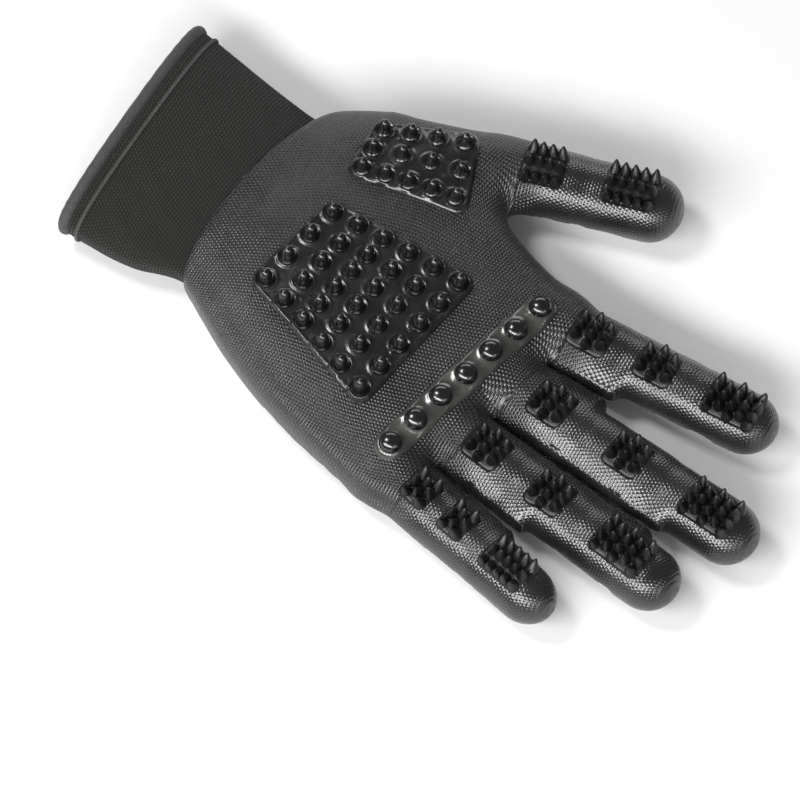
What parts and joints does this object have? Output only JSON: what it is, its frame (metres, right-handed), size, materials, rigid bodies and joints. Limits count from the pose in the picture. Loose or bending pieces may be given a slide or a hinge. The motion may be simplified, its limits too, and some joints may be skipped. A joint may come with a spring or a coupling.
{
  "type": "grooming glove",
  "caption": "Dipped knit grooming glove for the left hand with rubber nub pads on palm and thumb base, a domed bar across the finger bases and spiked brush pads on every finger.",
  "frame": {"origin": "under the middle of the glove's bounding box, on the surface that the glove's back lies on", "axes": "+X from the wrist to the fingertips, +Y to the thumb side, +Z out of the palm"},
  "size_m": [0.2614, 0.159, 0.0333],
  "materials": {
    "cuff_knit": "matt ribbed knit",
    "hem_yarn": "matt overlocked yarn",
    "liner_knit": "matt fine knit",
    "nitrile_coat": "semi-gloss dipped rubber over knit",
    "gloss_rubber": "gloss moulded rubber",
    "brush_rubber": "semi-gloss moulded rubber"
  },
  "bodies": {
    "palm": {"finger_base_strip": "gloss_rubber", "palm_coat": "nitrile_coat", "palm_liner": "liner_knit", "palm_nub_pad": "brush_rubber", "thenar_nub_pad": "brush_rubber"},
    "cuff": {"cuff_knit": "cuff_knit", "hem_binding": "hem_yarn", "overlock_ridge": "hem_yarn"},
    "index_proximal": {"index_proximal_coat": "nitrile_coat", "index_proximal_liner": "liner_knit", "index_proximal_pad": "brush_rubber"},
    "index_middle": {"index_middle_coat": "nitrile_coat", "index_middle_liner": "liner_knit", "index_middle_pad": "brush_rubber"},
    "index_distal": {"index_distal_coat": "nitrile_coat", "index_distal_liner": "liner_knit", "index_distal_pad": "brush_rubber"},
    "middle_proximal": {"middle_proximal_coat": "nitrile_coat", "middle_proximal_liner": "liner_knit", "middle_proximal_pad": "brush_rubber"},
    "middle_middle": {"middle_middle_coat": "nitrile_coat", "middle_middle_liner": "liner_knit", "middle_middle_pad": "brush_rubber"},
    "middle_distal": {"middle_distal_coat": "nitrile_coat", "middle_distal_liner": "liner_knit", "middle_distal_pad": "brush_rubber"},
    "ring_proximal": {"ring_proximal_coat": "nitrile_coat", "ring_proximal_liner": "liner_knit", "ring_proximal_pad": "brush_rubber"},
    "ring_middle": {"ring_middle_coat": "nitrile_coat", "ring_middle_liner": "liner_knit", "ring_middle_pad": "brush_rubber"},
    "ring_distal": {"ring_distal_coat": "nitrile_coat", "ring_distal_liner": "liner_knit", "ring_distal_pad": "brush_rubber"},
    "little_proximal": {"little_proximal_coat": "nitrile_coat", "little_proximal_liner": "liner_knit", "little_proximal_pad": "brush_rubber"},
    "little_middle": {"little_middle_coat": "nitrile_coat", "little_middle_liner": "liner_knit", "little_middle_pad": "brush_rubber"},
    "little_distal": {"little_distal_coat": "nitrile_coat", "little_distal_liner": "liner_knit", "little_distal_pad": "brush_rubber"},
    "thumb_proximal": {"thumb_proximal_coat": "nitrile_coat", "thumb_proximal_liner": "liner_knit", "thumb_proximal_pad": "brush_rubber"},
    "thumb_distal": {"thumb_distal_coat": "nitrile_coat", "thumb_distal_liner": "liner_knit", "thumb_distal_pad": "brush_rubber"}
  },
  "joints": [
    {"name": "wrist_bend", "type": "hinge", "parent": "palm", "child": "cuff", "pos_m": [-0.07954, -0.00827, 0.0104], "axis": [0, -1, 0], "range_deg": [-30, 30]},
    {"name": "index_knuckle", "type": "hinge", "parent": "palm", "child": "index_proximal", "pos_m": [0.03426, 0.01483, 0.01514], "axis": [0.1323, -0.9912, 0], "range_deg": [-12, 40]},
    {"name": "index_mid_joint", "type": "hinge", "parent": "index_proximal", "child": "index_middle", "pos_m": [0.05587, 0.01771, 0.01532], "axis": [0.1323, -0.9912, 0], "range_deg": [0, 60]},
    {"name": "index_tip_joint", "type": "hinge", "parent": "index_middle", "child": "index_distal", "pos_m": [0.08085, 0.02105, 0.01553], "axis": [0.1323, -0.9912, 0], "range_deg": [0, 48]},
    {"name": "middle_knuckle", "type": "hinge", "parent": "palm", "child": "middle_proximal", "pos_m": [0.03496, -0.01327, 0.01514], "axis": [0.0105, -0.9999, 0], "range_deg": [-12, 40]},
    {"name": "middle_mid_joint", "type": "hinge", "parent": "middle_proximal", "child": "middle_middle", "pos_m": [0.06446, -0.01296, 0.01534], "axis": [0.0105, -0.9999, 0], "range_deg": [0, 60]},
    {"name": "middle_tip_joint", "type": "hinge", "parent": "middle_middle", "child": "middle_distal", "pos_m": [0.09546, -0.01264, 0.01554], "axis": [0.0105, -0.9999, 0], "range_deg": [0, 48]},
    {"name": "ring_knuckle", "type": "hinge", "parent": "palm", "child": "ring_proximal", "pos_m": [0.03146, -0.03777, 0.01514], "axis": [-0.0471, -0.9989, 0], "range_deg": [-12, 40]},
    {"name": "ring_mid_joint", "type": "hinge", "parent": "ring_proximal", "child": "ring_middle", "pos_m": [0.05623, -0.03894, 0.01532], "axis": [-0.0471, -0.9989, 0], "range_deg": [0, 60]},
    {"name": "ring_tip_joint", "type": "hinge", "parent": "ring_middle", "child": "ring_distal", "pos_m": [0.0834, -0.04022, 0.01551], "axis": [-0.0471, -0.9989, 0], "range_deg": [0, 48]},
    {"name": "little_knuckle", "type": "hinge", "parent": "palm", "child": "little_proximal", "pos_m": [0.02766, -0.06287, 0.01514], "axis": [-0.1271, -0.9919, 0], "range_deg": [-12, 40]},
    {"name": "little_mid_joint", "type": "hinge", "parent": "little_proximal", "child": "little_middle", "pos_m": [0.04373, -0.06493, 0.0153], "axis": [-0.1271, -0.9919, 0], "range_deg": [0, 38]},
    {"name": "little_tip_joint", "type": "hinge", "parent": "little_middle", "child": "little_distal", "pos_m": [0.06218, -0.06729, 0.01547], "axis": [-0.1271, -0.9919, 0], "range_deg": [0, 40]},
    {"name": "thumb_base", "type": "hinge", "parent": "palm", "child": "thumb_proximal", "pos_m": [-0.01704, 0.05053, 0.01744], "axis": [0.3714, -0.9285, 0], "range_deg": [-10, 38]},
    {"name": "thumb_tip_joint", "type": "hinge", "parent": "thumb_proximal", "child": "thumb_distal", "pos_m": [0.00756, 0.06037, 0.01744], "axis": [0.3714, -0.9285, 0], "range_deg": [0, 50]}
  ]
}
